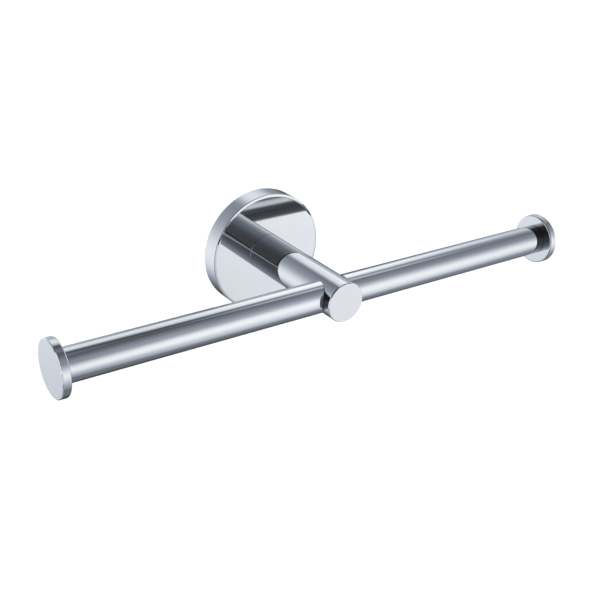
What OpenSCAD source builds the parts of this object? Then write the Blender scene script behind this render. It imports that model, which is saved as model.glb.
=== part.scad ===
// Double toilet roll holder for a wall: a round rosette, one round post standing out from it,
// and two bars across the post's front end, each closed by a disc that keeps its roll on.
// The origin is the middle of the rosette's back, on the wall. +X runs to the right along the
// bars, +Y into the wall and +Z up, so the holder stands out towards -Y.

/* [Overall] */
// Width over the two end discs
overall_w = 291; // [220:1:360]
// Distance from the wall to the middle of the bars
bar_reach = 68; // [55:1:85]

/* [Rosette] */
// Diameter of the rosette
rosette_d = 65; // [58:1:80]
// How far the rosette stands out from the wall
rosette_t = 10; // [8.5:0.5:14]
// Rounding of the rosette's front edge
rosette_edge = 0.5; // [0.4:0.1:2]
// Thickness of the metal behind the rosette's front face
rosette_face_t = 2.5; // [2:0.25:3.25]
// Thickness of the rosette's outer rim
rosette_rim_t = 2.5; // [2:0.25:4]
// Thickness of the ring inside the rosette that fits round the bracket
bracket_ring_t = 3; // [2:0.25:4]
// Thickness of the three ribs between that ring and the rim
rosette_rib_t = 2; // [1.5:0.25:4]

/* [Post] */
// Diameter of the post
post_d = 20.5; // [18:0.5:26]
// Length of the post in front of the middle of the bars
post_nose = 12; // [9:0.5:20]
// Rounding of the post's front edge
post_edge = 0.5; // [0.2:0.1:1.5]

/* [Bars] */
// Outer diameter of the bars
bar_d = 16; // [14:0.5:17.5]
// Wall thickness of the bars' tube
bar_wall = 1.5; // [1:0.1:2.5]

/* [End discs] */
// Diameter of the end discs
disc_d = 27; // [20:0.5:34]
// Thickness of the end discs
disc_t = 4.25; // [3:0.25:6]
// Rounding of both edges of the end discs
disc_edge = 0.5; // [0.2:0.1:1]
// Length of the plug that each disc has inside its bar
disc_plug_l = 10; // [8:0.5:16]
// Metal left between the rod's hole and the disc's outer face
disc_skin = 2; // [1:0.5:2.5]

/* [Cross spigot and tie rod] */
// Length of the spigot inside each bar
spigot_grip = 15; // [10:1:25]
// Diameter of the tie rod
rod_d = 6; // [5:1:8]
// Room round the tie rod inside the spigot
rod_room = 0.3; // [0.2:0.1:0.5]
// Gap between the tie rod's end and the bottom of its hole
rod_end_gap = 1; // [0.5:0.5:2]

/* [Post screw] */
// Thread diameter of the screw that holds the post on the rosette
post_screw_d = 6; // [5:1:8]
// Length of thread inside the post
post_screw_grip = 13; // [10:1:20]
// Depth of the post's tapped hole past the end of the screw
post_screw_run_out = 3; // [1:1:5]
// Diameter of the screw's head
post_screw_head_d = 10; // [9:0.5:12]
// Height of the screw's head
post_screw_head_h = 4; // [3:0.5:4.5]
// Width across the flats of the socket in the head
post_screw_key = 4; // [3:0.5:5]
// Depth of the socket in the head
post_screw_key_deep = 2.4; // [1.5:0.1:2.6]
// Outer diameter of the lock washer
washer_d = 11.8; // [11:0.2:13]
// Thickness of the lock washer
washer_t = 1.6; // [1:0.1:1.8]
// Width of the slit in the lock washer
washer_slit = 1; // [0.6:0.1:1.5]

/* [Locating pin] */
// Diameter of the pin that keeps the bars level
pin_d = 3; // [2:0.5:3.5]
// Distance from the middle of the post up to the pin
pin_offset = 6.5; // [6:0.25:7]
// Length of the pin inside the post
pin_grip = 5; // [3:0.5:8]
// How far the pin's back end lies inside the rosette's metal
pin_sink = 0.3; // [0.1:0.1:0.5]

/* [Wall bracket] */
// Diameter of the bracket
bracket_d = 43; // [40:0.5:46]
// Distance between the middles of the two wall screw holes
wall_hole_spacing = 28; // [27:0.5:29.5]
// Diameter of the wall screw holes
wall_hole_d = 4.5; // [3.5:0.5:5]
// Diameter of the countersinks for the wall screws' heads
wall_head_d = 9; // [8:0.5:10]
// Depth of the flat that the set screw presses on
flat_depth = 0.8; // [0.4:0.1:1.5]
// Bevel round the bracket's front edge
bracket_bevel = 0.4; // [0.2:0.1:0.8]

/* [Set screw] */
// Thread diameter of the set screw
set_screw_d = 4; // [3:0.5:5]
// How deep the set screw's outer end lies inside the rosette's rim
set_screw_sink = 3; // [2.5:0.1:4]
// Width of the block inside the rosette that the set screw runs through
set_screw_block_w = 10; // [8:0.5:14]
// Width across the flats of the socket in the set screw
set_screw_key = 2; // [1.5:0.1:2.2]
// Depth of the socket in the set screw
set_screw_key_deep = 2.5; // [1.5:0.1:3]

/* [Clearances] */
// Gap between a thread and its tapped hole
thread_gap = 0.05; // [0.02:0.01:0.1]
// Gap between a plug, spigot or pin and its hole
fit_gap = 0.05; // [0.02:0.01:0.1]
// Gap between the bars' shaped ends and the post
saddle_gap = 0.05; // [0.02:0.01:0.1]
// Room round the post screw in the rosette
post_screw_room = 0.3; // [0.2:0.1:0.5]
// Room round the lock washer in the wall bracket
head_room = 1.6; // [1:0.1:2]
// Gap round the bracket inside the rosette
recess_gap = 0.4; // [0.3:0.05:0.6]
// Gap between the bracket and the floor of the rosette's recess
recess_floor_gap = 0.3; // [0.2:0.05:0.5]
// Gap between the set screw's tip and the bracket's flat
set_screw_tip_gap = 0.1; // [0.05:0.01:0.2]

/* [Hidden] */
$fn = 96;

CHROME = [0.80, 0.82, 0.85];
STEEL = [0.62, 0.63, 0.65];
BRASS = [0.78, 0.63, 0.32];

// How far a cut runs past the surface that it opens
cut_over = 1;
// Bevel on the ends of turned inner pieces
lead_in = 0.4;

// Distances out from the wall
recess_deep = rosette_t - rosette_face_t;
bracket_t = recess_deep - recess_floor_gap;
set_screw_out = bracket_t / 2;
post_front = bar_reach + post_nose;

// Distances out from the middle of the post, along the bars
disc_inner = overall_w / 2 - disc_t;
plug_inner = disc_inner - disc_plug_l;
rod_hole_end = overall_w / 2 - disc_skin;
rod_end = rod_hole_end - rod_end_gap;
spigot_end = post_d / 2 + spigot_grip;

// Diameters that follow from others
recess_d = bracket_d + 2 * recess_gap;
bar_bore_d = bar_d - 2 * bar_wall;
plug_d = bar_bore_d - 2 * fit_gap;
screw_head_bore_d = washer_d + 2 * head_room;

// Distances down from the middle of the bracket
flat_down = bracket_d / 2 - flat_depth;
set_screw_tip = flat_down + set_screw_tip_gap;
set_screw_end = rosette_d / 2 - set_screw_sink;

// Helpers

// Turns a shape so that its height runs out from the wall and its Y axis runs up.
module from_wall() {
    rotate([90, 0, 0]) children();
}

// Turns a shape so that its height runs to the right, along the bars.
module to_the_right() {
    rotate([0, 90, 0]) children();
}

// Turns a shape so that its height runs straight down.
module downwards() {
    rotate([180, 0, 0]) children();
}

// A round disc or stub with a rounded front edge, and a rounded back edge too if asked for.
module rounded_round(d, h, edge, both = false) {
    low = both ? edge : 0;
    rotate_extrude() {
        square([d / 2 - edge, h]);
        translate([0, low]) square([d / 2, h - edge - low]);
        translate([d / 2 - edge, h - edge]) circle(r = edge, $fn = 48);
        if (both) translate([d / 2 - edge, edge]) circle(r = edge, $fn = 48);
    }
}

// A round stub whose far end is beveled.
module beveled_round(d, h, bevel) {
    cylinder(d = d, h = h - bevel);
    translate([0, 0, h - bevel]) cylinder(d1 = d, d2 = d - 2 * bevel, h = bevel);
}

// A round bar, beveled at both ends, that is centred on the origin.
module centred_round(d, length, bevel) {
    beveled_round(d, length / 2, bevel);
    mirror([0, 0, 1]) beveled_round(d, length / 2, bevel);
}

// The shape of a hexagon key's socket, measured across its flats.
module key_socket(across, deep) {
    cylinder(d = across / cos(30), h = deep, $fn = 6);
}

// Wall side

// One wall screw hole, countersunk from the front.
module wall_screw_hole() {
    countersink = (wall_head_d - wall_hole_d) / 2;
    translate([0, 0, -cut_over]) cylinder(d = wall_hole_d, h = bracket_t + 2 * cut_over);
    translate([0, 0, bracket_t - countersink])
        cylinder(d1 = wall_hole_d, d2 = wall_head_d, h = countersink);
    translate([0, 0, bracket_t]) cylinder(d = wall_head_d, h = cut_over);
}

// The round plate that is screwed to the wall and carries the rosette.
module wall_bracket() {
    color(STEEL) from_wall() difference() {
        beveled_round(bracket_d, bracket_t, bracket_bevel);
        translate([0, 0, -cut_over])
            cylinder(d = screw_head_bore_d, h = bracket_t + 2 * cut_over);
        for (side = [-1, 1])
            translate([side * wall_hole_spacing / 2, 0, 0]) wall_screw_hole();
        translate([-bracket_d / 2, -bracket_d / 2 - cut_over, -cut_over])
            cube([bracket_d, flat_depth + cut_over, bracket_t + 2 * cut_over]);
    }
}

// Holder

// The locating pin's shape, or its hole when some room is added.
module pin_shape(room) {
    translate([0, pin_offset, recess_deep + pin_sink])
        cylinder(d = pin_d + 2 * room, h = rosette_face_t - pin_sink + pin_grip);
}

// A wall of the given thickness that runs down from the middle of the rosette.
module spoke(thickness) {
    translate([-thickness / 2, -rosette_d / 2, -2 * cut_over])
        cube([thickness, rosette_d / 2, rosette_t + 4 * cut_over]);
}

// The hollow between the rosette's rim and the ring round the bracket. One block crosses it at
// the bottom, for the set screw, and three ribs cross it at the sides and the top.
module rosette_hollow() {
    difference() {
        translate([0, 0, -cut_over])
            cylinder(d = rosette_d - 2 * rosette_rim_t, h = recess_deep + cut_over);
        translate([0, 0, -2 * cut_over])
            cylinder(d = recess_d + 2 * bracket_ring_t, h = rosette_t + 4 * cut_over);
        spoke(set_screw_block_w);
        for (turn = [90, 180, 270]) rotate(turn) spoke(rosette_rib_t);
    }
}

// The visible round plate, cast in one piece, with the recess that fits over the bracket.
module rosette() {
    color(CHROME) difference() {
        from_wall() difference() {
            rounded_round(rosette_d, rosette_t, rosette_edge);
            translate([0, 0, -cut_over]) cylinder(d = recess_d, h = recess_deep + cut_over);
            rosette_hollow();
            cylinder(d = post_screw_d + 2 * post_screw_room, h = rosette_t + cut_over);
            pin_shape(fit_gap);
        }
        translate([0, -set_screw_out, 0]) downwards()
            cylinder(d = set_screw_d + 2 * thread_gap, h = rosette_d / 2 + cut_over);
    }
}

// The screw under the rosette that clamps it on the bracket.
module set_screw() {
    length = set_screw_end - set_screw_tip;
    color(STEEL) translate([0, -set_screw_out, -set_screw_end]) difference() {
        beveled_round(set_screw_d, length, lead_in);
        translate([0, 0, -cut_over]) key_socket(set_screw_key, set_screw_key_deep + cut_over);
    }
}

// The solid round arm that stands out from the rosette.
module post() {
    color(CHROME) from_wall() difference() {
        translate([0, 0, rosette_t])
            rounded_round(post_d, post_front - rosette_t, post_edge);
        cylinder(
            d = post_screw_d + 2 * thread_gap,
            h = rosette_t + post_screw_grip + post_screw_run_out
        );
        pin_shape(fit_gap);
        translate([0, 0, bar_reach]) to_the_right()
            cylinder(d = bar_bore_d, h = post_d + 2 * cut_over, center = true);
    }
}

// The screw that holds the post on the rosette from behind.
module post_screw() {
    head_back = recess_deep - washer_t - post_screw_head_h;
    length = washer_t + rosette_face_t + post_screw_grip;
    color(STEEL) from_wall() difference() {
        translate([0, 0, head_back]) {
            cylinder(d = post_screw_head_d, h = post_screw_head_h);
            translate([0, 0, post_screw_head_h]) beveled_round(post_screw_d, length, lead_in);
        }
        translate([0, 0, head_back - cut_over])
            key_socket(post_screw_key, post_screw_key_deep + cut_over);
    }
}

// The split washer under the post screw's head, pressed flat.
module lock_washer() {
    color(STEEL) from_wall() translate([0, 0, recess_deep - washer_t]) difference() {
        cylinder(d = washer_d, h = washer_t);
        translate([0, 0, -cut_over])
            cylinder(d = post_screw_d + 2 * thread_gap, h = washer_t + 2 * cut_over);
        rotate(45) translate([0, -washer_slit / 2, -cut_over])
            cube([washer_d, washer_slit, washer_t + 2 * cut_over]);
    }
}

// The pin that stops the post turning on the rosette.
module locating_pin() {
    color(STEEL) from_wall() pin_shape(0);
}

// The sleeve through the post that both bars slide onto.
module cross_spigot() {
    color(BRASS) translate([0, -bar_reach, 0]) to_the_right() difference() {
        centred_round(plug_d, 2 * spigot_end, lead_in);
        cylinder(d = rod_d + 2 * rod_room, h = 2 * spigot_end + cut_over, center = true);
    }
}

// The threaded rod from disc to disc that pulls both bars against the post.
module tie_rod() {
    color(STEEL) translate([0, -bar_reach, 0]) to_the_right()
        centred_round(rod_d, 2 * rod_end, lead_in);
}

// One bar: a tube whose inner end is cut to the round of the post.
module bar() {
    color(CHROME) difference() {
        translate([0, -bar_reach, 0]) to_the_right() difference() {
            cylinder(d = bar_d, h = disc_inner);
            translate([0, 0, -cut_over]) cylinder(d = bar_bore_d, h = disc_inner + 2 * cut_over);
        }
        from_wall() translate([0, 0, bar_reach - bar_d])
            cylinder(d = post_d + 2 * saddle_gap, h = 2 * bar_d);
    }
}

module right_bar() {
    bar();
}

module left_bar() {
    mirror([1, 0, 0]) bar();
}

// One end disc with the plug that centres it in its bar and is tapped for the rod.
module end_disc() {
    color(CHROME) translate([0, -bar_reach, 0]) to_the_right() difference() {
        union() {
            translate([0, 0, disc_inner]) rounded_round(disc_d, disc_t, disc_edge, both = true);
            translate([0, 0, disc_inner + disc_t / 2]) mirror([0, 0, 1])
                beveled_round(plug_d, disc_plug_l + disc_t / 2, lead_in);
        }
        translate([0, 0, plug_inner - cut_over])
            cylinder(d = rod_d + 2 * thread_gap, h = rod_hole_end - plug_inner + cut_over);
    }
}

module right_end_disc() {
    end_disc();
}

module left_end_disc() {
    mirror([1, 0, 0]) end_disc();
}

wall_bracket();
rosette();
set_screw();
post();
post_screw();
lock_washer();
locating_pin();
cross_spigot();
tie_rod();
left_bar();
right_bar();
left_end_disc();
right_end_disc();
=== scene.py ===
"""Looks of the double toilet roll holder: its chrome pieces and the fixings inside them.

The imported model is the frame. Each piece here is a finer mesh of one of its nodes, in the same
place. All lengths are in metres. The origin is on the wall, in the middle of the rosette's back:
+X runs to the right along the bars, +Y into the wall and +Z up.
"""

from __future__ import annotations

import logging
import math
from collections.abc import Sequence
from dataclasses import dataclass
from enum import Enum

import bmesh
import bpy
import numpy as np
from mathutils import Matrix, Vector


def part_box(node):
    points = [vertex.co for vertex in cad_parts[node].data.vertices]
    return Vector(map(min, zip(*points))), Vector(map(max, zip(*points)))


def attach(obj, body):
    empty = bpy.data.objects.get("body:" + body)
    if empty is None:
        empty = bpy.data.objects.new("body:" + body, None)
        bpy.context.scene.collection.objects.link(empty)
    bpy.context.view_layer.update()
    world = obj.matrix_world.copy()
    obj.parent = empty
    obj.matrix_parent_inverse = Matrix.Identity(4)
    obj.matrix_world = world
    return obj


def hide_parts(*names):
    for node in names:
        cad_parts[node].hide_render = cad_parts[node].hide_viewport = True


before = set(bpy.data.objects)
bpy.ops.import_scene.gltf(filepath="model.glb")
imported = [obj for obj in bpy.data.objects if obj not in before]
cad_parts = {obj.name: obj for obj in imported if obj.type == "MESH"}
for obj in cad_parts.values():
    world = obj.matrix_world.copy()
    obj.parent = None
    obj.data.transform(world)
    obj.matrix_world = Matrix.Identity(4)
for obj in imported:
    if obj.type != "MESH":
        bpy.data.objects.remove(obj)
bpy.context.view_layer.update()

MM = 0.001
LOG = logging.getLogger("roll_holder")

# The axes' numbers
X, Y, Z = range(3)
# Facets round a large turned surface, a small one, and a screw
LARGE_FACETS = 288
SMALL_FACETS = 96
SCREW_FACETS = 48
# Sides of a hexagon socket
HEX_SIDES = 6
# Steps across a rounded edge, and across one that the Bevel modifier makes
EDGE_STEPS = 10
BEVEL_STEPS = 3
# Rows of points over one turn of a thread
ROWS_PER_TURN = 8
# How far a cut runs past the surface that it opens
CUT_OVER = 1.0 * MM
# Points closer together than this are one point
WELD = 0.0005 * MM
# A point this close to a true surface lies on it
SURFACE_SLACK = 0.005 * MM
# Faces that meet at more than this angle have a crease between them
CREASE = math.radians(28)
# Rounding on the ends of turned inner pieces, and on their finer edges
LEAD_IN = 0.4 * MM
FINE_EDGE = LEAD_IN / 2
# Room that each fit, plug, pin and thread has round it
FIT_GAP = 0.05 * MM
# Radius of the cross spigot, and of the plug on each end disc
PLUG_RADIUS = 6.45 * MM
# Pitch and groove depth of the two threads
M4_THREAD = (0.7 * MM, 0.43 * MM)
M6_THREAD = (1.0 * MM, 0.61 * MM)

Pair = tuple[float, float]
Triple = tuple[float, float, float]
Socket = bpy.types.NodeSocket


class Way(Enum):
    """The way that a turned piece's axis runs, then two directions square to it."""

    OUT = ((0, -1, 0), (1, 0, 0), (0, 0, 1))
    RIGHT = ((1, 0, 0), (0, 1, 0), (0, 0, 1))
    LEFT = ((-1, 0, 0), (0, -1, 0), (0, 0, 1))
    UP = ((0, 0, 1), (1, 0, 0), (0, 1, 0))


@dataclass(frozen=True)
class Spindle:
    """The axis that a turned piece is turned about.

    Attributes:
        way: The way that the axis runs.
        start: The point on the axis from which distances along it are measured.
    """

    way: Way
    start: Triple = (0.0, 0.0, 0.0)

    def turn(self) -> Matrix:
        """The rotation from the spindle's own frame, whose Z axis runs along it."""
        along, side, up = (Vector(v) for v in self.way.value)
        return Matrix((side, up, along)).transposed()

    def matrix(self) -> Matrix:
        """The place of the spindle's own frame."""
        return Matrix.Translation(self.start) @ self.turn().to_4x4()

    def local(self, points: np.ndarray) -> np.ndarray:
        """The points, one a row, in the spindle's own frame."""
        return (points - np.array(self.start)) @ np.array(self.turn())

    def world(self, directions: np.ndarray) -> np.ndarray:
        """Directions in the spindle's own frame, one a row, in the frame of the whole object."""
        return directions @ np.array(self.turn()).T


@dataclass(frozen=True)
class NodeBox:
    """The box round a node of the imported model.

    Attributes:
        low: Its lowest corner.
        high: Its highest corner.
    """

    low: Vector
    high: Vector

    @classmethod
    def of(cls, node: str) -> NodeBox:
        """The box round the named node."""
        return cls(*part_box(node))

    def half(self, axis: int) -> float:
        """Half the box's size along an axis, which is the radius of a node that is round there."""
        return (self.high[axis] - self.low[axis]) / 2

    def middle(self, axis: int) -> float:
        """The middle of the box along an axis."""
        return (self.low[axis] + self.high[axis]) / 2

    def off_wall(self) -> Pair:
        """How far off the wall the node begins and ends."""
        return -self.high.y, -self.low.y


def bar_axis(way: Way = Way.RIGHT, start: float = 0.0) -> Spindle:
    """The axis of both bars, whose distance from the wall the cross spigot gives.

    Args:
        way: The way that it runs.
        start: How far to the right of the post's middle it starts.

    Returns:
        The axis.
    """
    return Spindle(way, (start, NodeBox.of("cross_spigot").middle(Y), 0))


@dataclass(frozen=True)
class Stretch:
    """One stretch of a turned outline, straight or round, and the true surface that it sweeps.

    Attributes:
        spindle: The axis that it is turned about.
        begin: Its first point, as a distance along the axis and one away from it.
        end: Its last point.
        centre: The middle of a round stretch, or None where it is straight.
    """

    spindle: Spindle
    begin: Pair
    end: Pair
    centre: Pair | None = None

    def measure(self, points: np.ndarray) -> tuple[np.ndarray, np.ndarray]:
        """Compares points with the surface.

        Args:
            points: The points, one a row.

        Returns:
            How far each point lies from the surface, and the surface's direction next to it.
        """
        local = self.spindle.local(points)
        away = np.hypot(local[:, 0], local[:, 1])
        section = np.column_stack((local[:, 2], away))
        if self.centre is None:
            off, facing = self._measure_straight(section)
        else:
            off, facing = self._measure_round(section)
        radial = local[:, :2] / np.maximum(away, WELD)[:, None]
        direction = np.column_stack((radial * facing[:, 1:], facing[:, 0]))
        return off, self.spindle.world(direction)

    def _measure_straight(self, section: np.ndarray) -> tuple[np.ndarray, np.ndarray]:
        """Compares points with a straight stretch.

        Args:
            section: Each point's distance along the axis and away from it, one point a row.

        Returns:
            How far each point lies from the stretch, and the direction square to it.
        """
        run = np.subtract(self.end, self.begin)
        length = np.hypot(*run)
        run = run / length
        square = np.array((-run[1], run[0]))
        reach = (section - self.begin) @ run
        beyond = np.maximum(0, np.maximum(-reach, reach - length))
        off = np.hypot((section - self.begin) @ square, beyond)
        return off, np.tile(square, (len(section), 1))

    def _measure_round(self, section: np.ndarray) -> tuple[np.ndarray, np.ndarray]:
        """Compares points with a round stretch.

        Args:
            section: Each point's distance along the axis and away from it, one point a row.

        Returns:
            How far each point lies from the stretch, and the direction out from its centre.
        """
        radius = math.dist(self.begin, self.centre)
        spoke = section - self.centre
        length = np.maximum(np.hypot(spoke[:, 0], spoke[:, 1]), WELD)
        return np.abs(length - radius), spoke / length[:, None]


@dataclass(frozen=True)
class Corner:
    """A corner of a turned outline.

    Attributes:
        along: Its distance along the axis.
        away: Its distance from the axis.
        edge: The radius that rounds it, or 0 for a sharp corner.
    """

    along: float
    away: float
    edge: float = 0.0

    def rounded(self, before: Corner, after: Corner) -> tuple[list[Pair], Pair | None]:
        """Rounds the corner between its two neighbours.

        Args:
            before: The corner before this one.
            after: The corner after this one.

        Returns:
            The points of the rounding, and its centre. A sharp corner is its own one point.
        """
        here = Vector((self.along, self.away))
        if not self.edge:
            return [(self.along, self.away)], None
        back = (Vector((before.along, before.away)) - here).normalized()
        forth = (Vector((after.along, after.away)) - here).normalized()
        half = back.angle(forth) / 2
        centre = here + (back + forth).normalized() * self.edge / math.sin(half)
        first = here + back * self.edge / math.tan(half) - centre
        last = here + forth * self.edge / math.tan(half) - centre
        sweep = first.angle_signed(last)
        spokes = [Matrix.Rotation(-sweep * i / EDGE_STEPS, 2) @ first for i in range(EDGE_STEPS + 1)]
        return [tuple(centre + spoke) for spoke in spokes], tuple(centre)


def finished_mesh(bm: bmesh.types.BMesh, name: str) -> bpy.types.Mesh:
    """Turns a mesh that is being worked on into a plain one.

    Args:
        bm: The mesh, which is freed.
        name: The plain mesh's name.

    Returns:
        The plain mesh.
    """
    mesh = bpy.data.meshes.new(name)
    bm.to_mesh(mesh)
    bm.free()
    return mesh


def values_of(items: bpy.types.bpy_prop_collection, name: str, width: int, kind: type) -> np.ndarray:
    """Reads one property of every item of a mesh's vertices, face corners or faces.

    Args:
        items: The items.
        name: The property's name.
        width: How many numbers it has.
        kind: The numbers' type.

    Returns:
        The numbers, in one row for each item where there are several.
    """
    values = np.empty(len(items) * width, kind)
    items.foreach_get(name, values)
    return values if width == 1 else values.reshape(-1, width)


class Workpiece:
    """A mesh on the bench: it is cut and shaded here, and then handed over as a piece."""

    def __init__(self, name: str, mesh: bpy.types.Mesh, surfaces: Sequence[Stretch] = ()) -> None:
        """Puts a mesh on the bench.

        Args:
            name: The piece's name.
            mesh: Its mesh, in place.
            surfaces: The true surfaces that its faces follow.
        """
        self.object = bpy.data.objects.new(name, mesh)
        bpy.context.scene.collection.objects.link(self.object)
        self.surfaces = list(surfaces)

    @classmethod
    def turned(
        cls, name: str, spindle: Spindle, corners: Sequence[Corner], facets: int = LARGE_FACETS
    ) -> Workpiece:
        """Turns an outline about an axis.

        Args:
            name: The piece's name.
            spindle: The axis.
            corners: The outline. It starts and ends on the axis, or else it is a closed loop.
            facets: The number of facets round the axis.

        Returns:
            The turned piece.
        """
        looped = corners[0].away > 0
        points: list[Pair] = []
        surfaces: list[Stretch] = []
        for i, corner in enumerate(corners):
            arc, centre = corner.rounded(corners[i - 1], corners[(i + 1) % len(corners)])
            if points:
                surfaces.append(Stretch(spindle, points[-1], arc[0]))
            if centre is not None:
                surfaces.append(Stretch(spindle, arc[0], arc[-1], centre))
            points += arc
        if looped:
            surfaces.append(Stretch(spindle, points[-1], points[0]))
        bm = bmesh.new()
        rings = []
        for along, away in points:
            count = facets if away > 0 else 1
            turns = (math.tau * k / count for k in range(count))
            rings.append([bm.verts.new((away * math.cos(t), away * math.sin(t), along)) for t in turns])
        pairs = list(zip(rings, rings[1:])) + ([(rings[-1], rings[0])] if looped else [])
        for lower, upper in pairs:
            for here in range(facets):
                there = (here + 1) % facets
                ends = (
                    lower[here % len(lower)],
                    lower[there % len(lower)],
                    upper[there % len(upper)],
                    upper[here % len(upper)],
                )
                bm.faces.new(list(dict.fromkeys(ends)))
        bmesh.ops.recalc_face_normals(bm, faces=bm.faces)
        bmesh.ops.transform(bm, matrix=spindle.matrix(), verts=bm.verts)
        return cls(name, finished_mesh(bm, name), surfaces)

    @classmethod
    def rod(
        cls, name: str, spindle: Spindle, radius: float, ends: Pair, edges: Pair = (0.0, 0.0),
        bore: Pair = (0.0, 0.0), facets: int = SMALL_FACETS,
    ) -> Workpiece:
        """Turns a round rod, a sleeve, or the tool that drills a hole.

        Args:
            name: The piece's name.
            spindle: Its axis.
            radius: Its radius.
            ends: Where it begins and ends along the axis.
            edges: The rounding of each end.
            bore: The radius of a bore right through it, and the rounding of the bore's edges.
            facets: The number of facets round it.

        Returns:
            The turned piece.
        """
        begin, end = ends
        return cls.turned(name, spindle, (
            Corner(begin, *bore),
            Corner(begin, radius, edges[0]),
            Corner(end, radius, edges[1]),
            Corner(end, *bore),
        ), facets)

    @classmethod
    def block(cls, name: str, low: Triple, high: Triple, turn: Matrix | None = None) -> Workpiece:
        """Makes a rectangular block.

        Args:
            name: The piece's name.
            low: Its lowest corner.
            high: Its highest corner.
            turn: A turn about the origin, given to it last.

        Returns:
            The block.
        """
        bm = bmesh.new()
        bmesh.ops.create_cube(bm, size=1.0)
        middle = (Vector(low) + Vector(high)) / 2
        size = Vector(high) - Vector(low)
        place = Matrix.Translation(middle) @ Matrix.Diagonal((*size, 1.0))
        bmesh.ops.transform(bm, matrix=(turn or Matrix()).to_4x4() @ place, verts=bm.verts)
        return cls(name, finished_mesh(bm, name))

    @classmethod
    def grown(
        cls, name: str, tree: ShapeTree, sizes: dict[str, float], spindle: Spindle
    ) -> Workpiece:
        """Makes a piece with a tree of Geometry Nodes.

        Args:
            name: The piece's name.
            tree: The tree.
            sizes: The value of each named input.
            spindle: The place of the piece's own frame.

        Returns:
            The piece as a plain mesh.
        """
        made = cls(name, bpy.data.meshes.new(name))
        modifier = made.object.modifiers.new("shape", "NODES")
        modifier.node_group = tree.tree
        for title, value in sizes.items():
            modifier[tree.identifiers[title]] = value
        made.apply_modifiers()
        made.object.data.transform(spindle.matrix())
        return made

    def apply_modifiers(self) -> None:
        """Turns what the modifiers make into the object's own plain mesh."""
        bpy.context.view_layer.update()
        graph = bpy.context.evaluated_depsgraph_get()
        made = bpy.data.meshes.new_from_object(self.object.evaluated_get(graph), depsgraph=graph)
        old = self.object.data
        made.name = old.name
        self.object.modifiers.clear()
        self.object.data = made
        bpy.data.meshes.remove(old)

    def _join(self, operation: str, tools: Sequence[Workpiece]) -> None:
        """Cuts the tools out of this piece, or adds them to it, and puts the tools away.

        Args:
            operation: What the Boolean modifier does.
            tools: The tools.
        """
        for tool in tools:
            modifier = self.object.modifiers.new("join", "BOOLEAN")
            modifier.operation = operation
            modifier.solver = "EXACT"
            modifier.object = tool.object
            self.surfaces += tool.surfaces
        self.apply_modifiers()
        for tool in tools:
            mesh = tool.object.data
            bpy.data.objects.remove(tool.object)
            bpy.data.meshes.remove(mesh)
        bm = bmesh.new()
        bm.from_mesh(self.object.data)
        bmesh.ops.remove_doubles(bm, verts=bm.verts, dist=WELD)
        bmesh.ops.dissolve_degenerate(bm, edges=bm.edges, dist=WELD)
        bm.to_mesh(self.object.data)
        bm.free()

    def cut(self, *tools: Workpiece) -> None:
        """Cuts the tools' shapes out of this piece."""
        self._join("DIFFERENCE", tools)

    def add(self, *tools: Workpiece) -> None:
        """Adds the tools' shapes to this piece."""
        self._join("UNION", tools)

    def bevel(self, width: float) -> None:
        """Rounds every crease.

        Args:
            width: The width of the rounding.
        """
        modifier = self.object.modifiers.new("bevel", "BEVEL")
        modifier.width = width
        modifier.segments = BEVEL_STEPS
        modifier.limit_method = "ANGLE"
        modifier.angle_limit = CREASE
        self.apply_modifiers()

    def shade(self) -> None:
        """Gives each face corner the direction of the true surface that its face follows."""
        mesh = self.object.data
        mesh.shade_smooth()
        mesh.set_sharp_from_angle(angle=CREASE)
        points = values_of(mesh.vertices, "co", 3, float)
        corner_point = values_of(mesh.loops, "vertex_index", 1, int)
        starts = values_of(mesh.polygons, "loop_start", 1, int)
        facing = values_of(mesh.polygons, "normal", 3, float)
        counts = np.diff(np.append(starts, len(mesh.loops)))
        corner_face = np.repeat(np.arange(len(counts)), counts)
        directions = np.zeros((len(mesh.loops), 3))
        for surface in self.surfaces:
            off, direction = surface.measure(points)
            at_corner = direction[corner_point]
            on = np.logical_and.reduceat((off < SURFACE_SLACK)[corner_point], starts)
            agree = (np.add.reduceat(at_corner, starts) * facing).sum(1) / counts
            follows = (on & (np.abs(agree) > math.cos(CREASE)))[corner_face]
            side = np.sign(agree)[corner_face]
            directions[follows] = (at_corner * side[:, None])[follows]
        mesh.normals_split_custom_set(directions.tolist())

    def hand_over(self, body: str, node: str, slot: str, *materials: bpy.types.Material) -> None:
        """Shades the piece and makes it stand for its node.

        Args:
            body: The body that it rides on.
            node: The node that it replaces.
            slot: The record's material slot; not used.
            *materials: Its materials, in the order that its faces name them.
        """
        self.shade()
        self.object.data.materials.clear()
        for material in materials:
            self.object.data.materials.append(material)
        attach(self.object, body)
        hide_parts(node)
        triangles = sum(len(face.vertices) - 2 for face in self.object.data.polygons)
        LOG.info("%s rides on %s, %d triangles", self.object.name, body, triangles)


class Value:
    """A number that a tree works out. Arithmetic on it adds the nodes that do the sum."""

    def __init__(self, desk: NodeDesk, socket: Socket) -> None:
        """Takes the desk of the tree, and the socket that gives the number."""
        self.desk = desk
        self.socket = socket

    def __add__(self, other: Value | float) -> Value:
        """The sum."""
        return self.desk.math("ADD", self, other)

    def __sub__(self, other: Value | float) -> Value:
        """The difference."""
        return self.desk.math("SUBTRACT", self, other)

    def __mul__(self, other: Value | float) -> Value:
        """The product."""
        return self.desk.math("MULTIPLY", self, other)

    def __truediv__(self, other: Value | float) -> Value:
        """The quotient."""
        return self.desk.math("DIVIDE", self, other)


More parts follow.
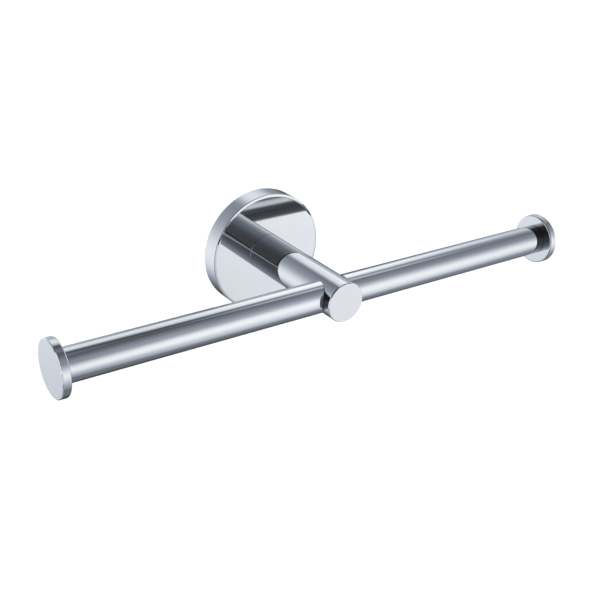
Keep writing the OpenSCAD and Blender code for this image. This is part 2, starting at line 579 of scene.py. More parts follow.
class NodeDesk:
    """Lays out the nodes of one tree and links them."""

    def __init__(self, tree: bpy.types.NodeTree) -> None:
        """Takes the tree to work on."""
        self.tree = tree

    def add(
        self, kind: str, inputs: dict[str | int, object] | None = None, **settings: object
    ) -> bpy.types.Node:
        """Adds a node.

        Args:
            kind: The node's type.
            inputs: What each input gets, by the input's name or number.
            **settings: The node's own settings.

        Returns:
            The node.
        """
        node = self.tree.nodes.new(kind)
        for name, value in settings.items():
            setattr(node, name, value)
        for key, value in (inputs or {}).items():
            self.feed(node.inputs[key], value)
        return node

    def feed(self, target: Socket, value: object) -> None:
        """Links an input to what another node gives, or sets it to a plain value.

        Args:
            target: The input.
            value: The other node's number or socket, or the plain value.
        """
        source = value.socket if isinstance(value, Value) else value
        if isinstance(source, Socket):
            self.tree.links.new(source, target)
        else:
            target.default_value = source

    def math(self, operation: str, *values: Value | float) -> Value:
        """The result of one Math node."""
        node = self.add("ShaderNodeMath", dict(enumerate(values)), operation=operation)
        return Value(self, node.outputs[0])

    def clamp(self, value: Value, low: Value | float, high: Value | float) -> Value:
        """The value, kept between low and high."""
        return self.math("MINIMUM", self.math("MAXIMUM", value, low), high)

    def spread(self, value: Value, low: float, high: float) -> Value:
        """A value from 0 to 1, spread out from low to high."""
        return self.math("MULTIPLY_ADD", value, high - low, low)

    def dot(self, place: Socket, way: Sequence[float]) -> Value:
        """How far a place lies along a direction."""
        node = self.add("ShaderNodeVectorMath", {0: place, 1: way}, operation="DOT_PRODUCT")
        return Value(self, node.outputs["Value"])

    def ramp(self, value: Value, stops: Sequence[tuple[float, Triple]]) -> Socket:
        """Looks a value up in a row of colours.

        Args:
            value: A value from 0 to 1.
            stops: The place and the colour of each stop, in order.

        Returns:
            The colour.
        """
        node = self.add("ShaderNodeValToRGB", {"Fac": value})
        elements = node.color_ramp.elements
        while len(elements) < len(stops):
            elements.new(1.0)
        for element, (place, colour) in zip(elements, stops):
            element.position = place
            element.color = (*colour, 1.0)
        return node.outputs["Color"]


class ShapeTree(NodeDesk):
    """A tree of Geometry Nodes with named inputs, which wraps a grid of points into a shape."""

    def __init__(self, name: str, sizes: Sequence[str]) -> None:
        """Makes the tree and its inputs: the sizes, and the number of facets round the shape.

        Args:
            name: The tree's name.
            sizes: The names of its sizes.
        """
        super().__init__(bpy.data.node_groups.new(name, "GeometryNodeTree"))
        self.identifiers: dict[str, str] = {}
        for title in (*sizes, "Facets"):
            kind = "NodeSocketFloat" if title in sizes else "NodeSocketInt"
            made = self.tree.interface.new_socket(title, in_out="INPUT", socket_type=kind)
            self.identifiers[title] = made.identifier
        self.tree.interface.new_socket("Mesh", in_out="OUTPUT", socket_type="NodeSocketGeometry")
        given = self.tree.nodes.new("NodeGroupInput").outputs
        self.inputs = {title: Value(self, given[title]) for title in self.identifiers}

    def choose(self, test: Value, no: Value, yes: Value) -> Value:
        """One of two values, by a test that is 0 or 1."""
        both = {"Switch": test, "False": no, "True": yes}
        return Value(self, self.add("GeometryNodeSwitch", both, input_type="FLOAT").outputs[0])

    def pick(self, number: Value, values: Sequence[Value | float]) -> Value:
        """Picks a value by its number.

        Args:
            number: The number, from 0.
            values: The values.

        Returns:
            The value with that number.
        """
        node = self.add("GeometryNodeIndexSwitch", data_type="FLOAT")
        while len(node.index_switch_items) < len(values):
            node.index_switch_items.new()
        for place, value in enumerate((number, *values)):
            self.feed(node.inputs[place], value)
        return Value(self, node.outputs[0])

    def grid(self, rows: Value | int) -> tuple[Socket, Value, Value]:
        """Lays out the grid.

        Args:
            rows: How many rows of points it has.

        Returns:
            The grid, the number of a point's row, and its share of a full turn.
        """
        facets = self.inputs["Facets"]
        grid = self.add("GeometryNodeMeshGrid", {"Vertices X": facets + 1.0, "Vertices Y": rows})
        index = Value(self, self.add("GeometryNodeInputIndex").outputs[0])
        column = self.math("FLOOR", (index + 0.5) / rows)
        return grid.outputs["Mesh"], index - column * rows, column / facets

    def wrap(self, grid: Socket, share: Value, away: Value, along: Value) -> None:
        """Wraps the grid round the axis, welds it and ends the tree.

        Args:
            grid: The grid.
            share: A point's share of a full turn.
            away: Its distance from the axis.
            along: Its distance along the axis.
        """
        angle = share * math.tau
        place = self.add("ShaderNodeCombineXYZ", {
            "X": away * self.math("COSINE", angle),
            "Y": away * self.math("SINE", angle),
            "Z": along,
        })
        placed = self.add("GeometryNodeSetPosition", {"Geometry": grid, "Position": place.outputs[0]})
        welded = self.add("GeometryNodeMergeByDistance", {"Geometry": placed.outputs[0], "Distance": WELD})
        real = self.add("GeometryNodeRealizeInstances", {"Geometry": welded.outputs[0]})
        dressed = self.add("GeometryNodeSetMaterial", {"Geometry": real.outputs[0]})
        self.add("NodeGroupOutput", {"Mesh": dressed.outputs[0]})


def threaded_rod_tree() -> ShapeTree:
    """Makes the tree for a screw's shank: a thread from each end, and a hexagon socket at the first.

    Its rows of points climb with the thread, so that crests and roots are unbroken edges.

    Returns:
        The tree.
    """
    sizes = ("Radius", "Length", "Pitch", "Depth", "Bevel", "First Thread", "Last Thread",
             "Socket Across", "Socket Depth")
    tree = ShapeTree("threaded_rod", sizes)
    radius, length, pitch, depth, bevel, first, last, across, deep = (tree.inputs[s] for s in sizes)
    step = pitch / ROWS_PER_TURN
    first_rows = tree.math("CEIL", first / step) + ROWS_PER_TURN
    last_rows = tree.math("CEIL", last / step) + ROWS_PER_TURN
    # After the socket's rows, the shank's run from 0 to shank_end, and one more closes it
    socket_rows = 3
    shank_end = first_rows + last_rows + 1.0
    grid, row, share = tree.grid(shank_end + (socket_rows + 2))

    # How far along the shank a row lies
    shank_row = row - socket_rows
    climb = pitch * share
    near = tree.clamp((shank_row - ROWS_PER_TURN) * step + climb, 0.0, first)
    far = tree.clamp(length - (shank_end - shank_row) * step + climb, length - last, length)
    is_far = tree.math("GREATER_THAN", shank_row, first_rows + 0.5)
    along = tree.choose(is_far, near, far)

    # The thread, which fades out where it ends on the shank. Its crest and its root are flat
    # for a sixth of a flank's width
    flat = 1 / 6
    phase = tree.math("FRACT", along / pitch - share)
    slope = tree.math("ABSOLUTE", tree.spread(phase, -1.0, 1.0))
    flank = tree.clamp(tree.spread(slope, -flat, 1 + flat), 0.0, 1.0)
    to_end = length - along
    partly = tree.math("MAXIMUM", (first - along) / pitch, (last - to_end) / pitch)
    wholly = tree.math("COMPARE", first, length, WELD)
    fade = tree.clamp(tree.math("MAXIMUM", partly, wholly), 0.0, 1.0)
    groove = tree.math("SUBTRACT", 1.0, flank) * fade
    cone = radius - bevel + tree.math("MINIMUM", along, to_end)
    shank = tree.math("MINIMUM", radius - groove * depth, cone)

    # The socket's sides, and the closed ends
    across_side = tree.math("FRACT", share * HEX_SIDES)
    off_middle = (across_side - 0.5) * (math.tau / HEX_SIDES)
    side = across * 0.5 / tree.math("COSINE", off_middle)
    closed = tree.math("LESS_THAN", shank_row, shank_end + 0.5)
    start = tree.clamp(row, 0.0, socket_rows)
    away = tree.pick(start, (0.0, side, side, shank * closed))
    tree.wrap(grid, share, away, tree.pick(start, (deep, deep, 0.0, along)))
    return tree


def coped_tube_tree() -> ShapeTree:
    """Makes the tree for a tube whose first end is cut to the round of a bar that crosses it.

    Returns:
        The tree.
    """
    sizes = ("Outer Radius", "Inner Radius", "Cope Radius", "Bevel", "Margin", "Length")
    tree = ShapeTree("coped_tube", sizes)
    outer, inner, cope, bevel, margin, length = (tree.inputs[s] for s in sizes)
    beveled = outer - bevel
    radii = (inner, beveled, outer, outer, outer, outer, beveled, inner, inner)
    grid, row, share = tree.grid(len(radii))
    away = tree.pick(row, radii)
    height = away * tree.math("SINE", share * math.tau)
    saddle = tree.math("SQRT", tree.math("POWER", cope, 2.0) - height * height)
    along = tree.pick(row, (
        saddle, saddle, saddle + bevel, cope + margin,
        length - margin, length - bevel, length, length, saddle,
    ))
    tree.wrap(grid, share, away, along)
    return tree


@dataclass(frozen=True)
class Thread:
    """A screw thread.

    Attributes:
        tree: The tree that makes threaded shanks.
        pitch: The distance from one turn to the next.
        depth: The depth of the groove.
    """

    tree: ShapeTree
    pitch: float
    depth: float

    def shank(
        self, name: str, spindle: Spindle, radius: float, length: float,
        ends: Pair | None = None, socket: Pair = (0.0, 0.0),
    ) -> Workpiece:
        """Makes a threaded shank.

        Args:
            name: The piece's name.
            spindle: Its axis, which starts at its first end.
            radius: Its radius.
            length: Its length.
            ends: How far the thread runs from the first end and from the last, or None where it
                runs over the whole shank.
            socket: The width and the depth of the hexagon socket in the first end.

        Returns:
            The shank.
        """
        first, last = ends or (length, 0.0)
        return Workpiece.grown(name, self.tree, {
            "Radius": radius,
            "Length": length,
            "Pitch": self.pitch,
            "Depth": self.depth,
            "Bevel": self.depth,
            "First Thread": first,
            "Last Thread": last,
            "Socket Across": socket[0],
            "Socket Depth": socket[1],
            "Facets": SCREW_FACETS,
        }, spindle)


# The noise that lays out a finish's patches, and its greys where a patch begins and is full
PATCH_NOISE = {"Detail": 3.0, "Roughness": 0.6}
PATCH_GREYS = {"From Min": 0.35, "From Max": 0.65}
# The detail in the noise of grains and of a lathe's rings
GRAIN_DETAIL = 2.0
RING_DETAIL = 3.0


@dataclass(frozen=True)
class Finish:
    """A metal's finish: cloudy patches of colour and gloss, and fine marks in its surface.

    Attributes:
        name: The material's name.
        colour: The metal's colour where it is clean, as linear red, green and blue.
        dull_colour: Its colour in the middle of a patch.
        metal: 1 for bare metal, and less where a haze lies on it.
        gloss_range: The roughness from a clean spot to the middle of a patch.
        patch_size: The size of a patch.
        mark_size: The distance from one mark to the next.
        mark_depth: The depth of the marks.
    """

    name: str
    colour: Triple
    dull_colour: Triple
    metal: float
    gloss_range: Pair
    patch_size: float
    mark_size: float
    mark_depth: float

    def marks(self, desk: NodeDesk, place: Socket) -> Socket:
        """Lays out the marks, which are grains without direction.

        Args:
            desk: The tree of the material.
            place: The place in the piece.

        Returns:
            The height of the marks, from 0 to 1.
        """
        grain = {"Vector": place, "Scale": 1 / self.mark_size, "Detail": GRAIN_DETAIL}
        return desk.add("ShaderNodeTexNoise", grain).outputs["Fac"]

    def material(self) -> bpy.types.Material:
        """Makes the material.

        Returns:
            The material.
        """
        made = bpy.data.materials.new(self.name)
        made.use_nodes = True
        made.node_tree.nodes.clear()
        desk = NodeDesk(made.node_tree)
        place = desk.add("ShaderNodeTexCoord").outputs["Object"]
        cloud = {"Vector": place, "Scale": 1 / self.patch_size, **PATCH_NOISE}
        grey = desk.add("ShaderNodeTexNoise", cloud).outputs["Fac"]
        patches = desk.add(
            "ShaderNodeMapRange", {"Value": grey, **PATCH_GREYS}, interpolation_type="SMOOTHSTEP"
        )
        share = Value(desk, patches.outputs["Result"])
        colour = desk.ramp(share, ((0.0, self.colour), (1.0, self.dull_colour)))
        bump = desk.add("ShaderNodeBump", {
            "Height": self.marks(desk, place), "Distance": self.mark_depth, "Strength": 1.0,
        })
        shader = desk.add("ShaderNodeBsdfPrincipled", {
            "Base Color": colour,
            "Metallic": self.metal,
            "Roughness": desk.spread(share, *self.gloss_range),
            "Normal": bump.outputs[0],
        })
        desk.add("ShaderNodeOutputMaterial", {"Surface": shader.outputs[0]})
        return made


@dataclass(frozen=True)
class TurnedFinish(Finish):
    """A finish with the rings that a lathe leaves.

    Attributes:
        spindle: The axis that the piece was turned about.
    """

    spindle: Spindle

    def marks(self, desk: NodeDesk, place: Socket) -> Socket:
        """Lays out the marks, which run round the spindle.

        Args:
            desk: The tree of the material.
            place: The place in the piece.

        Returns:
            The height of the marks, from 0 to 1.
        """
        offset = desk.add("ShaderNodeVectorMath", {0: place, 1: self.spindle.start}, operation="SUBTRACT")
        along, side, up = (desk.dot(offset.outputs[0], way) for way in self.spindle.way.value)
        away = desk.math("SQRT", desk.math("POWER", side, 2.0) + desk.math("POWER", up, 2.0))
        section = desk.add("ShaderNodeCombineXYZ", {"X": along, "Y": away})
        rings = {"Vector": section.outputs[0], "Scale": 1 / self.mark_size, "Detail": RING_DETAIL}
        return desk.add("ShaderNodeTexNoise", rings, noise_dimensions="2D").outputs["Fac"]


# The chrome's colour, clean and in a patch
CHROME = ((0.555, 0.562, 0.575), (0.545, 0.553, 0.568))

# Mirror chrome plating, with the faint waviness of a polished surface
POLISHED_CHROME = Finish(
    "polished_chrome", *CHROME, metal=1.0, gloss_range=(0.025, 0.045),
    patch_size=9 * MM, mark_size=5 * MM, mark_depth=0.0006 * MM,
)
# The same plating over the rings of a lathe, which show faintly on the end discs
TURNED_CHROME = TurnedFinish(
    "turned_chrome", *CHROME, metal=1.0, gloss_range=(0.03, 0.06),
    patch_size=7 * MM, mark_size=0.45 * MM, mark_depth=0.006 * MM, spindle=bar_axis(),
)
# The dull, grainy plating inside the rosette's casting
PLATED_CASTING = Finish(
    "plated_casting", (0.56, 0.56, 0.57), (0.44, 0.44, 0.445), metal=0.5, gloss_range=(0.3, 0.42),
    patch_size=6 * MM, mark_size=0.5 * MM, mark_depth=0.02 * MM,
)
# The bracket's plain steel, with the rings that the lathe left on it
MACHINED_STEEL = TurnedFinish(
    "machined_steel", (0.56, 0.555, 0.545), (0.47, 0.465, 0.455), metal=0.7, gloss_range=(0.22, 0.34),
    patch_size=8 * MM, mark_size=0.22 * MM, mark_depth=0.006 * MM, spindle=Spindle(Way.OUT),
)
# The screws' bright zinc plating
ZINC_PLATE = Finish(
    "zinc_plate", (0.60, 0.615, 0.64), (0.48, 0.48, 0.47), metal=0.75, gloss_range=(0.2, 0.36),
    patch_size=2.5 * MM, mark_size=0.35 * MM, mark_depth=0.004 * MM,
)
# The cross spigot's bare turned brass
TURNED_BRASS = TurnedFinish(
    "turned_brass", (0.62, 0.43, 0.17), (0.45, 0.29, 0.12), metal=1.0, gloss_range=(0.2, 0.33),
    patch_size=6 * MM, mark_size=0.18 * MM, mark_depth=0.005 * MM, spindle=bar_axis(),
)


@dataclass
class WallSide:
    """What stays on the wall: the bracket, screwed on under the rosette.

    Attributes:
        steel: The bracket's material.
        head_bore: The radius of the room for the post screw's head.
        screw_hole: The radius of the wall screw holes.
        screw_head: The radius of their countersinks.
        hole_spacing: The distance between them.
        flat_depth: The depth of the flat for the set screw.
        bevel: The bevel round its front.
    """

    steel: bpy.types.Material
    head_bore: float = 7.5 * MM
    screw_hole: float = 2.25 * MM
    screw_head: float = 4.5 * MM
    hole_spacing: float = 28 * MM
    flat_depth: float = 0.8 * MM
    bevel: float = 0.4 * MM

    def build(self) -> None:
        """Turns the bracket, drills it and cuts its flat."""
        box = NodeBox.of("wall_bracket")
        radius = box.half(X)
        deep = box.high.y - box.low.y
        bracket = Workpiece.rod(
            "bracket_plate", Spindle(Way.OUT), radius, (0, deep), (FINE_EDGE, self.bevel),
            (self.head_bore, FINE_EDGE), LARGE_FACETS,
        )
        sunk = deep - (self.screw_head - self.screw_hole)
        holes = [
            Workpiece.turned(f"hole_{side}", Spindle(Way.OUT, (side * self.hole_spacing / 2, 0, 0)), (
                Corner(-CUT_OVER, 0),
                Corner(-CUT_OVER, self.screw_hole),
                Corner(sunk, self.screw_hole),
                Corner(deep, self.screw_head),
                Corner(deep + CUT_OVER, self.screw_head),
                Corner(deep + CUT_OVER, 0),
            ), SMALL_FACETS)
            for side in (-1, 1)
        ]
        flat = Workpiece.block(
            "flat",
            (-radius, -deep - CUT_OVER, -radius - CUT_OVER),
            (radius, CUT_OVER, self.flat_depth - radius),
        )
        bracket.cut(*holes, flat)
        bracket.hand_over("wall_side", "wall_bracket", "bracket_steel", self.steel)


@dataclass
class RosettePart:
    """The rosette and the set screw in its underside.

    Attributes:
        chrome: The material of what shows.
        casting: The material inside its back.
        zinc: The set screw's material.
        thread: The set screw's thread.
        edge: The rounding of the front edge.
        roll_width: How far in from that edge the polished face starts to roll off.
        roll_drop: How far it has rolled off at the edge.
        roll_radius: The radius in which it rolls off.
        face: The metal behind the front face.
        rim: The thickness of the outer rim.
        ring: The thickness of the ring round the bracket.
        recess: The radius of the recess for the bracket.
        rib: The thickness of the ribs.
        screw_block: The width of the block that the set screw runs through.
        post_screw_room: The radius of the hole for the post screw.
        pin: The radius of the locating pin.
        pin_offset: The height of the pin above the rosette's middle.
        pin_sink: How far the pin's end stays below the recess's floor.
        cast_round: The rounding of the casting's inner corners.
        key: The width of the set screw's socket.
        key_deep: The depth of the socket.
    """

    chrome: bpy.types.Material
    casting: bpy.types.Material
    zinc: bpy.types.Material
    thread: Thread
    edge: float = 0.4 * MM
    roll_width: float = 1.2 * MM
    roll_drop: float = 0.2 * MM
    roll_radius: float = 5.0 * MM
    face: float = 2.5 * MM
    rim: float = 2.5 * MM
    ring: float = 3.0 * MM
    recess: float = 21.9 * MM
    rib: float = 2.0 * MM
    screw_block: float = 10.0 * MM
    post_screw_room: float = 3.3 * MM
    pin: float = 1.5 * MM
    pin_offset: float = 6.5 * MM
    pin_sink: float = 0.3 * MM
    cast_round: float = 0.6 * MM
    key: float = 2.0 * MM
    key_deep: float = 2.5 * MM

    def build(self) -> None:
        """Makes the rosette and the set screw."""
        self.make_rosette()
        self.make_set_screw()

    def hollow(self, radius: float, deep: float) -> Workpiece:
        """The four hollows between the rim and the ring, as a tool to cut them with.

        Args:
            radius: The rosette's radius.
            deep: The depth of the hollows.

        Returns:
            The tool.
        """
        behind = 2 * CUT_OVER
        tool = Workpiece.rod(
            "hollow", Spindle(Way.OUT), radius - self.rim, (-behind, deep),
            bore=(self.recess + self.ring, 0.0), facets=LARGE_FACETS,
        )
        walls = []
        for quarter, width in enumerate((self.screw_block, self.rib, self.rib, self.rib)):
            turn = Matrix.Rotation(quarter * math.pi / 2, 3, "Y")
            low = (-width / 2, -deep - CUT_OVER, -radius)
            high = (width / 2, behind + CUT_OVER, 0)
            walls.append(Workpiece.block("wall", low, high, turn))
        tool.cut(*walls)
        tool.bevel(self.cast_round)
        return tool

    def make_rosette(self) -> None:
        """Turns the rosette, hollows its back and drills it."""
        box = NodeBox.of("rosette")
        radius = box.half(X)
        front = box.high.y - box.low.y
        deep = front - self.face
        out = Spindle(Way.OUT)
        rosette = Workpiece.turned("rosette_plate", out, (
            Corner(deep, 0),
            Corner(deep, self.recess, FINE_EDGE),
            Corner(0, self.recess, FINE_EDGE),
            Corner(0, radius, FINE_EDGE),
            Corner(front - self.roll_drop, radius, self.edge),
            Corner(front, radius - self.roll_width, self.roll_radius),
            Corner(front, 0),
        ))
        screw = NodeBox.of("set_screw")
        above_pin = Spindle(Way.OUT, (0, 0, self.pin_offset))
        below_screw = Spindle(Way.UP, (0, screw.middle(Y), -radius - CUT_OVER))
        through = front + CUT_OVER
        rosette.cut(
            self.hollow(radius, deep),
            Workpiece.rod("post_screw_hole", out, self.post_screw_room, (0, through)),
            Workpiece.rod("pin_hole", above_pin, self.pin + FIT_GAP, (deep + self.pin_sink, through)),
            Workpiece.rod("set_screw_hole", below_screw, screw.half(X) + FIT_GAP, (0, radius)),
        )
        self.dress(rosette, radius, deep)
        rosette.hand_over("holder", "rosette", "polished_chrome", self.chrome, self.casting)

    def dress(self, rosette: Workpiece, radius: float, deep: float) -> None:
        """Marks the faces inside the rosette's back as casting.

        Args:
            rosette: The rosette.
            radius: Its radius.
            deep: The depth of its recess.
        """
        for face in rosette.object.data.polygons:
            away = math.hypot(face.center.x, face.center.z)
            in_back = -face.center.y < deep + self.pin_sink + LEAD_IN
            if in_back and away < radius - self.rim + FINE_EDGE / 2:
                face.material_index = 1

    def make_set_screw(self) -> None:
        """Makes the set screw, with its socket at the lower end."""
        box = NodeBox.of("set_screw")
        spindle = Spindle(Way.UP, (0, box.middle(Y), box.low.z))
        screw = self.thread.shank(
            "set_screw_shank", spindle, box.half(X), box.high.z - box.low.z,
            socket=(self.key, self.key_deep),
        )
        screw.hand_over("clamping_screw", "set_screw", "screw_steel", self.zinc)


@dataclass
class PostPart:
    """The post and what holds it on the rosette: its screw, the lock washer and the pin.

    Attributes:
        chrome: The post's material.
        zinc: The material of its fixings.
        thread: The post screw's thread.
        cap_chamfer: The chamfer round the post's front, along the post and across it.
        edge: The rounding of the chamfer's edges.
        foot_edge: The rounding of the edge on the rosette.
        spigot: The radius of the cross spigot.
        run_out: How far the tapped hole runs past the screw's tip.
        head: The radius of the screw's head.
        head_height: The height of the head.
        head_edges: The rounding of the head's edge at the back, and of that at the washer.
        key: The width of the head's socket.
        key_deep: The depth of the socket.
        shank: The radius of the screw's shank.
        slit: The width of the slit in the washer.
        slit_turn: How far that slit is turned from the level.
    """

    chrome: bpy.types.Material
    zinc: bpy.types.Material
    thread: Thread
    cap_chamfer: Pair = (0.5 * MM, 0.3 * MM)
    edge: float = 0.12 * MM
    foot_edge: float = 0.35 * MM
    spigot: float = PLUG_RADIUS
    run_out: float = 3.0 * MM
    head: float = 5.0 * MM
    head_height: float = 4.0 * MM
    head_edges: Pair = (0.4 * MM, 0.1 * MM)
    key: float = 4.0 * MM
    key_deep: float = 2.4 * MM
    shank: float = 3.0 * MM
    slit: float = 1.0 * MM
    slit_turn: float = -math.pi / 4

    def build(self) -> None:
        """Makes the post and its fixings."""
        self.make_post()
        self.make_screw()
        self.make_washer()
        self.make_pin()

    def pin_axis(self) -> Spindle:
        """The axis of the locating pin."""
        return Spindle(Way.OUT, (0, 0, NodeBox.of("locating_pin").middle(Z)))

    def make_post(self) -> None:
        """Turns the post and drills it for the spigot, the pin and the screw."""
        box = NodeBox.of("post")
        radius = box.half(X)
        foot, front = box.off_wall()
        along, across = self.cap_chamfer
        post = Workpiece.turned("post_arm", Spindle(Way.OUT), (
            Corner(foot, 0),
            Corner(foot, radius, self.foot_edge),
            Corner(front - along, radius, self.edge),
            Corner(front, radius - across, self.edge),
            Corner(front, 0),
        ))
        pin = NodeBox.of("locating_pin")
        _, pin_end = pin.off_wall()
        _, tip = NodeBox.of("post_screw").off_wall()
        begin = foot - CUT_OVER
        tapped = self.screwed("tapped_hole", begin, tip + self.run_out, FIT_GAP)
        through = (-2 * radius, 2 * radius)
        post.cut(
            Workpiece.rod("spigot_hole", bar_axis(), self.spigot + FIT_GAP, through),
            Workpiece.rod("pin_hole", self.pin_axis(), pin.half(X) + FIT_GAP, (begin, pin_end)),
            tapped,
        )
        post.hand_over("holder", "post", "polished_chrome", self.chrome)

    def make_screw(self) -> None:
        """Makes the post screw, with its socket at the back."""
        back, tip = NodeBox.of("post_screw").off_wall()
        front = back + self.head_height
        out = Spindle(Way.OUT)
        screw = Workpiece.rod("post_screw_head", out, self.head, (back, front), self.head_edges)
        screw.add(self.screwed("shank", front - LEAD_IN, tip, 0.0))
        # The distance of a hexagon's corners from its middle, from its width over two sides
        corner = self.key / math.sqrt(3)
        socket = (back - CUT_OVER, back + self.key_deep)
        key = Workpiece.rod("key", out, corner, socket, facets=HEX_SIDES)
        key.surfaces.clear()
        screw.cut(key)
        screw.hand_over("holder", "post_screw", "screw_steel", self.zinc)

    def make_washer(self) -> None:
        """Turns the lock washer and slits it."""
        box = NodeBox.of("lock_washer")
        washer = Workpiece.rod(
            "split_washer", Spindle(Way.OUT), box.half(X), box.off_wall(),
            (FINE_EDGE, FINE_EDGE), (self.shank + FIT_GAP, FINE_EDGE / 2),
        )
        turn = Matrix.Rotation(self.slit_turn, 3, "Y")
        _, front = NodeBox.of("post").off_wall()
        half = self.slit / 2
        washer.cut(Workpiece.block("slit", (0, -front, -half), (2 * self.head, 0, half), turn))
        washer.hand_over("holder", "lock_washer", "screw_steel", self.zinc)

    def make_pin(self) -> None:
        """Turns the locating pin."""
        box = NodeBox.of("locating_pin")
        edges = (FINE_EDGE, FINE_EDGE)
        pin = Workpiece.rod("dowel_pin", self.pin_axis(), box.half(X), box.off_wall(), edges)
        pin.hand_over("holder", "locating_pin", "screw_steel", self.zinc)

    def screwed(self, name: str, begin: float, end: float, room: float) -> Workpiece:
        """The screw's threaded shank, or the tool that taps its hole.

        Args:
            name: The piece's name.
            begin: Its first end's distance from the wall.
            end: Its last end's distance from the wall.
            room: What is added to its radius.

        Returns:
            The threaded piece. The threads of a screw and of its hole match, because each is
            turned by what is left over from a whole number of pitches where it begins.
        """
        way = Vector(Way.OUT.value[0])
        pitch = self.thread.pitch
        lead = begin - math.floor(begin / pitch) * pitch
        made = self.thread.shank(name, Spindle(Way.OUT), self.shank + room, end - begin)
        made.object.data.transform(Matrix.Rotation(math.tau * lead / pitch, 4, way))
        made.object.data.transform(Matrix.Translation(way * begin))
        return made


@dataclass
class CrossBars:
    """The two bars, their end discs, and the spigot and tie rod that hold them on the post.

    Attributes:
        chrome: The bars' material.
        disc_chrome: The end discs' material.
        zinc: The tie rod's material.
        brass: The spigot's material.
        thread: The tie rod's thread.
        tubes: The tree that makes the bars.
        wall: The thickness of a bar's wall.
        saddle_gap: The room between a bar's shaped end and the post.
        bar_bevel: The bevel of a bar's ends.
        margin: The length of bar from its shaped end or its straight end to the next row of points.
        disc_edge: The rounding of a disc's inner edge.
        disc_chamfer: The chamfer of its outer edge.
        chamfer_edge: The rounding of that chamfer.
        plug: The radius of the spigot, and of the plug on a disc.
        disc_thick: The thickness of a disc.
        disc_skin: The metal between its outer face and the tie rod's hole.
        rod_room: The room round the tie rod in the spigot.
        rod_thread: How far each of the rod's threads runs.
    """

    chrome: bpy.types.Material
    disc_chrome: bpy.types.Material
    zinc: bpy.types.Material
    brass: bpy.types.Material
    thread: Thread
    tubes: ShapeTree
    wall: float = 1.5 * MM
    saddle_gap: float = 0.05 * MM
    bar_bevel: float = 0.4 * MM
    margin: float = 1.5 * MM
    disc_edge: float = 0.8 * MM
    disc_chamfer: float = 0.4 * MM
    chamfer_edge: float = 0.12 * MM
    plug: float = PLUG_RADIUS
    disc_thick: float = 4.25 * MM
    disc_skin: float = 2.0 * MM
    rod_room: float = 0.3 * MM
    rod_thread: float = 16.0 * MM

    def build(self) -> None:
        """Makes what runs through the post, then both sides."""
        self.make_spigot()
        self.make_tie_rod()
        for side, way in (("left", Way.LEFT), ("right", Way.RIGHT)):
            self.make_bar(side, bar_axis(way))
            self.make_disc(side, bar_axis(way))

    def rod_radius(self) -> float:
        """The tie rod's radius."""
        return NodeBox.of("tie_rod").half(Z)

    def make_spigot(self) -> None:
        """Turns the spigot, a sleeve round the tie rod."""
        box = NodeBox.of("cross_spigot")
        spigot = Workpiece.rod(
            "spigot_sleeve", bar_axis(), self.plug, (box.low.x, box.high.x), (LEAD_IN, LEAD_IN),
            (self.rod_radius() + self.rod_room, FINE_EDGE),
        )
        spigot.hand_over("holder", "cross_spigot", "turned_brass", self.brass)

    def make_tie_rod(self) -> None:
        """Makes the tie rod, which is threaded at both ends."""
        box = NodeBox.of("tie_rod")
        rod = self.thread.shank(
            "tie_rod_stud", bar_axis(start=box.low.x), self.rod_radius(), box.high.x - box.low.x,
            ends=(self.rod_thread, self.rod_thread),
        )
        rod.hand_over("holder", "tie_rod", "screw_steel", self.zinc)

    def make_bar(self, side: str, spindle: Spindle) -> None:
        """Makes one bar.

        Args:
            side: The side that it is on.
            spindle: Its axis, from the middle of the post.
        """
        box = NodeBox.of(f"{side}_bar")
        outer = box.half(Z)
        inner = outer - self.wall
        length = max(abs(box.low.x), abs(box.high.x))
        cope = NodeBox.of("post").half(X) + self.saddle_gap
        bar = Workpiece.grown(f"{side}_bar_tube", self.tubes, {
            "Outer Radius": outer,
            "Inner Radius": inner,
            "Cope Radius": cope,
            "Bevel": self.bar_bevel,
            "Margin": self.margin,
            "Length": length,
            "Facets": LARGE_FACETS,
        }, spindle)
        bar.surfaces = [
            Stretch(spindle, (0, outer), (length, outer)),
            Stretch(spindle, (0, inner), (length, inner)),
            Stretch(Spindle(Way.OUT), (-length, cope), (length, cope)),
        ]
        bar.hand_over("holder", f"{side}_bar", "polished_chrome", self.chrome)

    def make_disc(self, side: str, spindle: Spindle) -> None:
        """Makes one end disc with its plug.

        Args:
            side: The side that it is on.
            spindle: Its axis, from the middle of the post.
        """
        box = NodeBox.of(f"{side}_end_disc")
        radius = box.half(Z)
        inside, outside = sorted((abs(box.low.x), abs(box.high.x)))
        face = outside - self.disc_thick
        disc = Workpiece.turned(f"{side}_disc_cap", spindle, (
            Corner(inside, 0),
            Corner(inside, self.plug, LEAD_IN),
            Corner(face, self.plug),
            Corner(face, radius, self.disc_edge),
            Corner(outside - self.disc_chamfer, radius, self.chamfer_edge),
            Corner(outside, radius - self.disc_chamfer, self.chamfer_edge),
            Corner(outside, 0),
        ))
        hole = (inside - CUT_OVER, outside - self.disc_skin)
        disc.cut(Workpiece.rod("rod_hole", spindle, self.rod_radius() + FIT_GAP, hole))
        disc.hand_over("holder", f"{side}_end_disc", "polished_chrome", self.disc_chrome)


def far_way(heading: float, height: float) -> Vector:
    """The way to a point far away.

    Args:
        heading: The direction as seen from above, in degrees: 0 is in front of the wall and 90 to
            the right.
        height: The angle above the horizon, in degrees.

    Returns:
        The way there, as a vector one long.
    """
    around, up = math.radians(heading), math.radians(height)
    return Vector((
        math.sin(around) * math.cos(up),
        -math.cos(around) * math.cos(up),
        math.sin(up),
    ))


